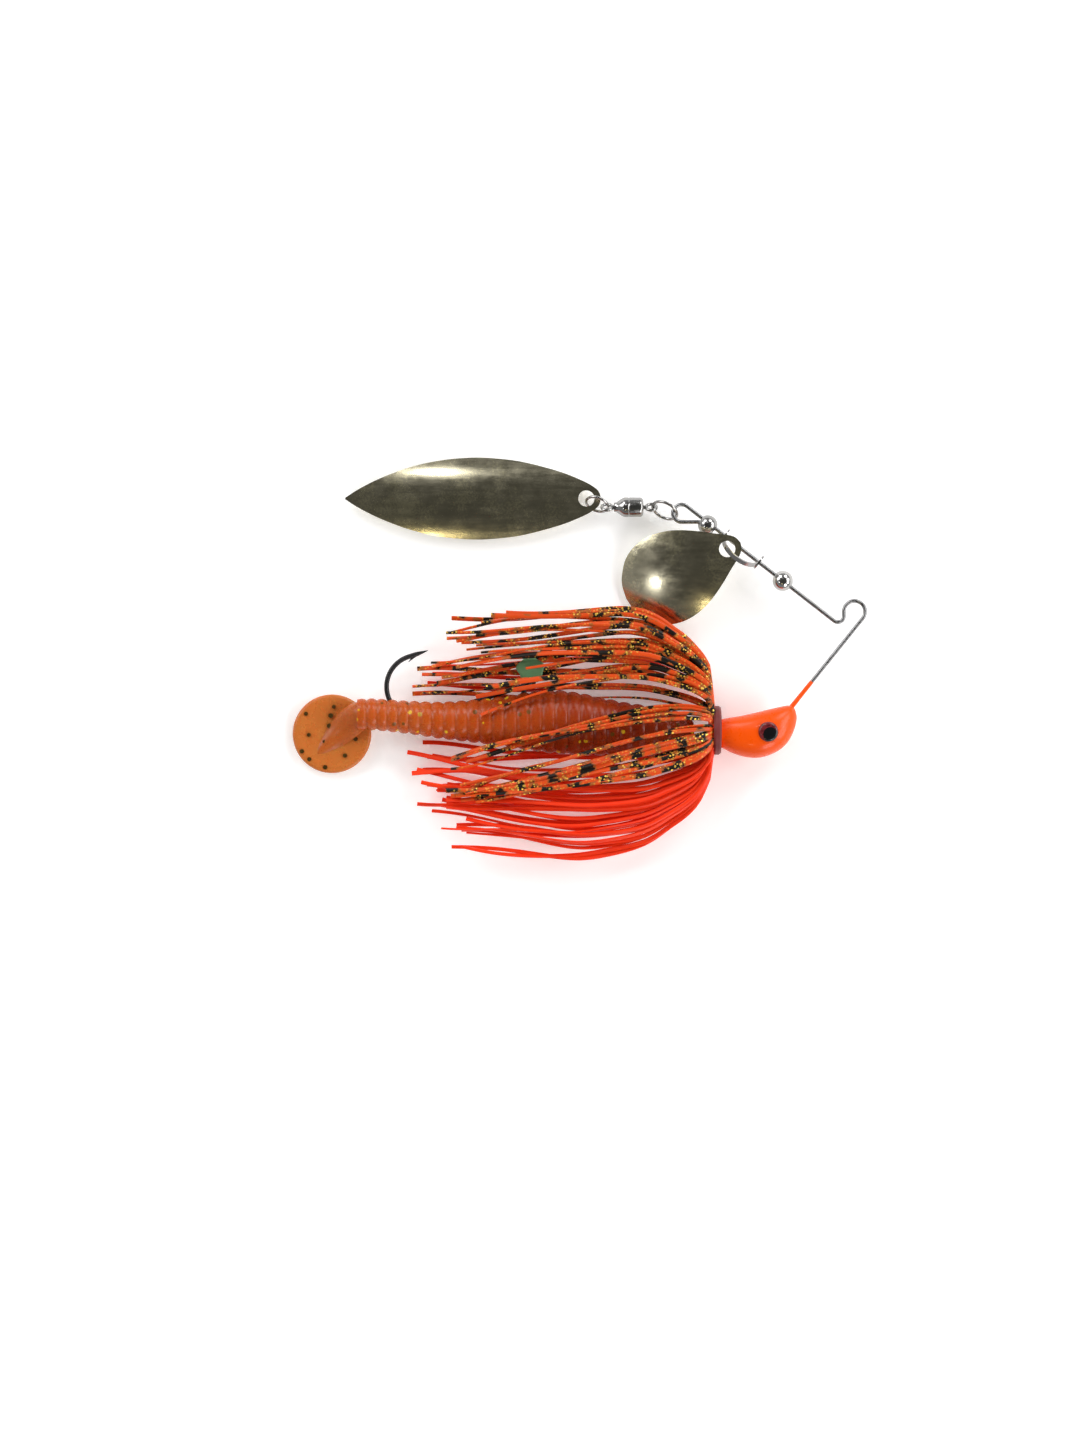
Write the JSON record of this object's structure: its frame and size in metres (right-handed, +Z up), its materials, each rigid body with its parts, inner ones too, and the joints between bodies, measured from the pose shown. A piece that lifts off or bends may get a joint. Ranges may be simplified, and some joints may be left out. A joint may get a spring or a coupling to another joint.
{
  "type": "spinner lure",
  "caption": "Safety-pin spinner lure: bent wire with line tie, painted head and hook, strand skirt, turning metal blades, swivel, soft ribbed paddle-tail trailer and trailing hook.",
  "frame": {"origin": "middle of the underside of the lure as it lies flat on a surface", "axes": "+X towards the line tie, +Y towards the blades, +Z up from the surface the lure lies on"},
  "size_m": [0.128, 0.0891, 0.0151],
  "materials": {
    "head_paint": "glossy orange paint over cast metal",
    "eye": "clear dome over a dark red iris and black pupil",
    "wire": "drawn spring wire",
    "black_hook": "black nickel",
    "collar": "smooth rubber band",
    "patterned_silicone": "orange silicone with black bars and gold flakes",
    "plain_silicone": "plain red-orange silicone",
    "soft_plastic": "translucent orange soft plastic with gold flakes",
    "keeper": "soft green rubber",
    "bead": "bright nickel plate",
    "bright_nickel": "bright nickel plate",
    "gold_plate": "hammer-free gold plate with fine scratches"
  },
  "bodies": {
    "root": {"head": "head_paint", "near_eye": "eye", "far_eye": "eye", "wire_arm": "wire", "main_hook": "black_hook", "skirt_collar": "collar", "skirt_upper_tab": "patterned_silicone", "skirt_front_tab": "patterned_silicone", "skirt_lower_tab": "plain_silicone", "skirt_back_tab": "plain_silicone", "trailer_body": "soft_plastic", "trailer_hook": "black_hook", "keeper_disc": "keeper", "upper_bead": "bead"},
    "lower_bead": {"lower_bead": "bead"},
    "clevis": {"clevis": "bright_nickel"},
    "colorado_blade": {"colorado_blade": "gold_plate"},
    "inner_ring": {"inner_ring": "bright_nickel"},
    "swivel": {"swivel_barrel": "bright_nickel", "swivel_eye": "bright_nickel", "swivel_balls": "bead"},
    "swivel_stem": {"swivel_stem": "bright_nickel"},
    "outer_ring": {"outer_ring": "bright_nickel"},
    "willow_blade": {"willow_blade": "gold_plate"},
    "tail": {"trailer_tail": "soft_plastic"}
  },
  "joints": [
    {"name": "clevis_spin", "type": "hinge", "parent": "root", "child": "clevis", "pos_m": [0.03641, 0.02388, 0.0056], "axis": [-0.7891, 0.6143, 0], "continuous": true},
    {"name": "colorado_swing", "type": "hinge", "parent": "clevis", "child": "colorado_blade", "pos_m": [0.03297, 0.02371, 0.00879], "axis": [-0.4747, 0.7555, -0.4515], "range_deg": [-15, 30]},
    {"name": "lower_bead_slide", "type": "slide", "parent": "root", "child": "lower_bead", "axis": [-0.7891, 0.6143, 0], "range_m": [-0.0115, 0.0038]},
    {"name": "inner_ring_pivot", "type": "hinge", "parent": "root", "child": "inner_ring", "pos_m": [0.02111, 0.03183, 0.0056], "axis": [0, 1, 0], "range_deg": [-40, 6]},
    {"name": "swivel_pivot", "type": "hinge", "parent": "inner_ring", "child": "swivel", "pos_m": [0.0175, 0.0333, 0.0034], "axis": [0, 0.6428, -0.766], "range_deg": [-35, 35]},
    {"name": "swivel_spin", "type": "hinge", "parent": "swivel", "child": "swivel_stem", "pos_m": [0.01, 0.0333, 0.0034], "axis": [1, 0, 0], "continuous": true},
    {"name": "outer_ring_pivot", "type": "hinge", "parent": "swivel_stem", "child": "outer_ring", "pos_m": [0.00535, 0.0333, 0.0034], "axis": [0, 0.6428, -0.766], "range_deg": [-35, 35]},
    {"name": "willow_swing", "type": "hinge", "parent": "outer_ring", "child": "willow_blade", "pos_m": [0.00442, 0.0353, 0.0026], "axis": [0, 1, 0], "range_deg": [-15, 50]},
    {"name": "tail_flex", "type": "hinge", "parent": "root", "child": "tail", "pos_m": [-0.0486, -0.0129, 0.0046], "axis": [0, 1, 0], "range_deg": [-10, 40], "stiffness_Nm_per_rad": 0.002}
  ]
}
